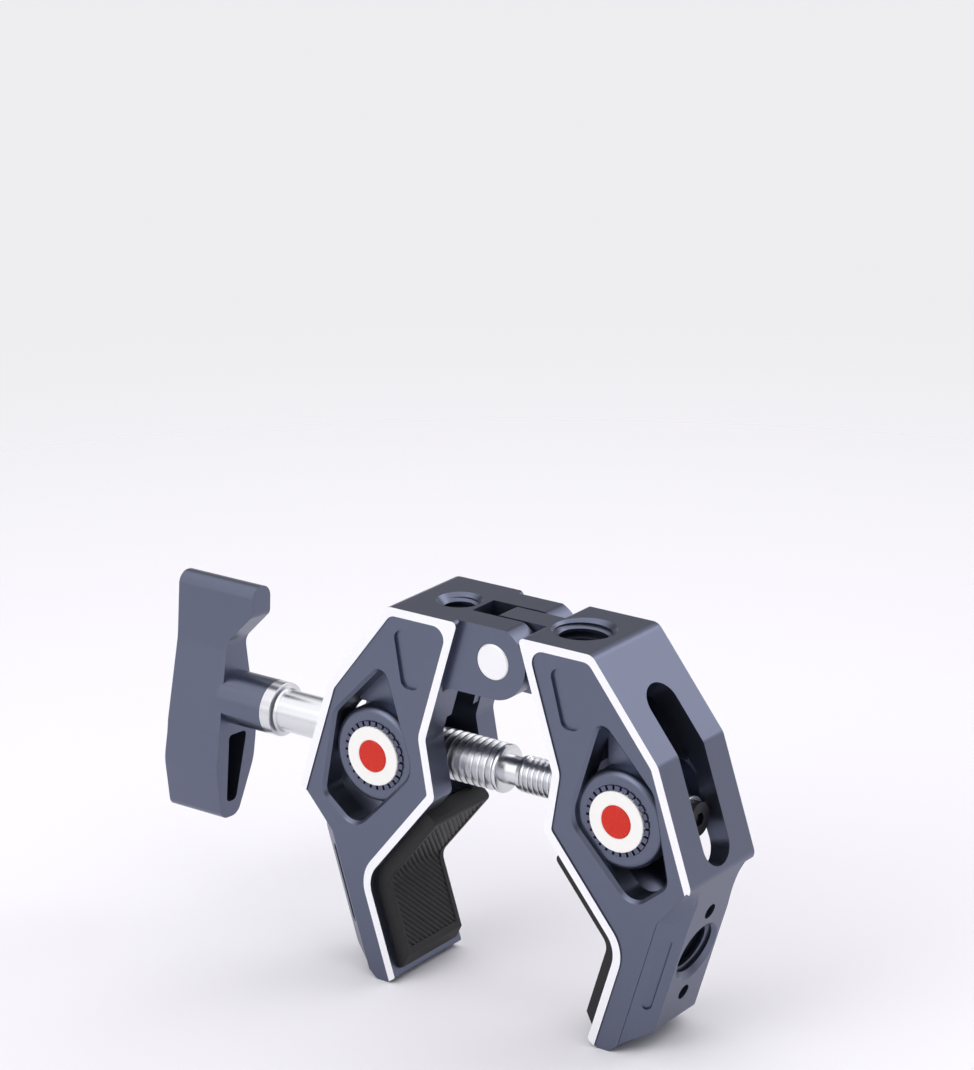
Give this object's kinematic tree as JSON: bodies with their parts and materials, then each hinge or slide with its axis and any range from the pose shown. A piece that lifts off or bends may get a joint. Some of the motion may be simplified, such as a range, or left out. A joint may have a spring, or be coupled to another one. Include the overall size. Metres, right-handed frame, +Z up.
{
  "type": "crab clamp",
  "caption": "Clamp with two hinged, mirrored jaws and rubber pads, closed by a spindle with opposite threads and a lever handle, with threaded accessory holes.",
  "frame": {"origin": "middle of the grip between the pads, level with the kinks of the legs, half way between the jaws' faces", "axes": "+X along the spindle, away from the handle; +Y along the hinge pin and along a held tube, away from the face that the picture shows; +Z up, from the grip to the hinge"},
  "size_m": [0.1084, 0.0184, 0.0651],
  "materials": {
    "blue_anodising": "satin blue-grey anodised, bare alloy on the machined rim of the jaws' faces",
    "nut_anodising": "satin dark blue-grey anodised",
    "bright_steel": "turned and polished",
    "black_steel": "black oxide",
    "black_rubber": "matt, finely textured",
    "dark_nylon": "matt",
    "white_ring": "smooth white",
    "red_cap": "red anodised, faced on a lathe"
  },
  "bodies": {
    "left_jaw": {"left_jaw": "blue_anodising", "hinge_pin": "bright_steel", "hinge_washer_front": "dark_nylon", "hinge_washer_back": "dark_nylon", "left_pad": "black_rubber"},
    "right_jaw": {"right_jaw": "blue_anodising", "right_pad": "black_rubber"},
    "left_nut": {"left_nut": "nut_anodising", "left_nut_ring_front": "white_ring", "left_nut_ring_back": "white_ring", "left_nut_cap_front": "red_cap", "left_nut_cap_back": "red_cap"},
    "right_nut": {"right_nut": "nut_anodising", "right_nut_ring_front": "white_ring", "right_nut_ring_back": "white_ring", "right_nut_cap_front": "red_cap", "right_nut_cap_back": "red_cap"},
    "stop_washer": {"stop_washer": "bright_steel"},
    "spindle": {"spindle": "bright_steel", "spindle_collar": "bright_steel", "end_screw": "black_steel", "handle": "blue_anodising", "handle_screw": "black_steel"}
  },
  "joints": [
    {"name": "jaw_hinge", "type": "hinge", "parent": "left_jaw", "child": "right_jaw", "pos_m": [0, 0, 0.04175], "axis": [0, 1, 0], "range_deg": [-10.9, 31.1]},
    {"name": "left_nut_turn", "type": "hinge", "parent": "left_jaw", "child": "left_nut", "pos_m": [-0.02345, 0, 0.0209], "axis": [0, 1, 0], "range_deg": [-5.5, 15.6]},
    {"name": "right_nut_turn", "type": "hinge", "parent": "right_jaw", "child": "right_nut", "pos_m": [0.02345, 0, 0.0209], "axis": [0, 1, 0], "range_deg": [-15.6, 5.5]},
    {"name": "spindle_feed", "type": "slide", "parent": "left_nut", "child": "stop_washer", "axis": [1, 0, 0], "range_m": [-0.00718, 0.00249]},
    {"name": "spindle_turn", "type": "hinge", "parent": "stop_washer", "child": "spindle", "pos_m": [0, 0, 0.0209], "axis": [1, 0, 0], "range_deg": [-720, 2070]}
  ],
  "couplings": [
    {"joint": "spindle_turn", "follows": "spindle_feed", "rad_per_m": -5026.5},
    {"joint": "jaw_hinge", "follows": "spindle_feed", "rad_per_m": -75.398},
    {"joint": "left_nut_turn", "follows": "spindle_feed", "rad_per_m": -37.699},
    {"joint": "right_nut_turn", "follows": "spindle_feed", "rad_per_m": 37.699}
  ]
}
